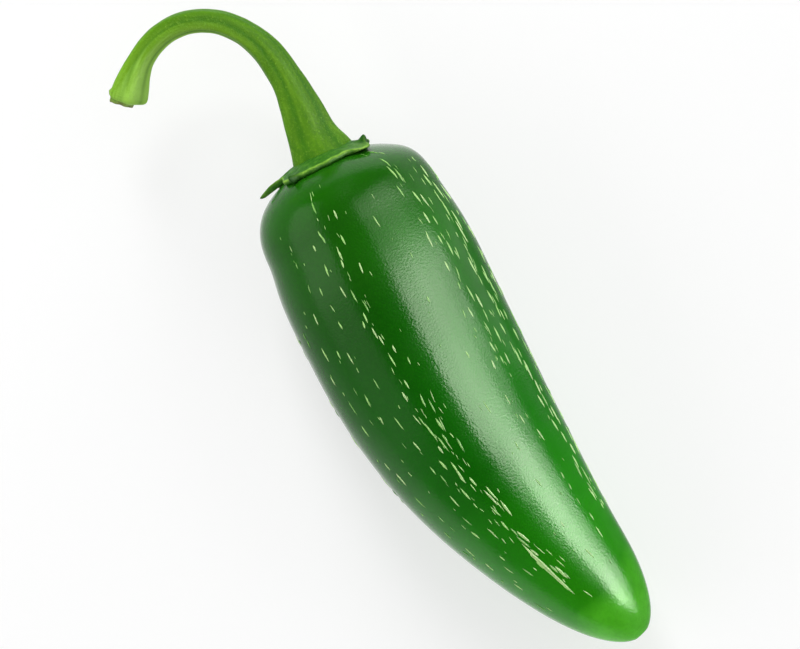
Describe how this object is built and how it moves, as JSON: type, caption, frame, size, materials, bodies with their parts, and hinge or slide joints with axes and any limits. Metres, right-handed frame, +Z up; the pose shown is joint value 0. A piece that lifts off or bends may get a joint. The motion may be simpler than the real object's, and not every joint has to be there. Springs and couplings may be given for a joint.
{
  "type": "chilli pepper",
  "caption": "Fat, blunt green chilli pepper lying on its side: tapering glossy pod with corky streaks, small toothed calyx and a hooked, ribbed stem.",
  "frame": {"origin": "on the resting plane, under the middle of the whole pepper as it lies on its side", "axes": "+X from the stem end towards the pod's tip, +Y level, away from the side the stem hooks to, +Z up"},
  "size_m": [0.1212, 0.0384, 0.0317],
  "materials": {
    "pod_skin": "smooth waxy dark green skin with pale corky streaks",
    "calyx_green": "dull green, yellow-green at the rim",
    "stem_green": "satin yellow-green with fine lengthwise grooves"
  },
  "bodies": {
    "root": {"pod": "pod_skin", "calyx": "calyx_green", "stem": "stem_green"}
  },
  "joints": []
}
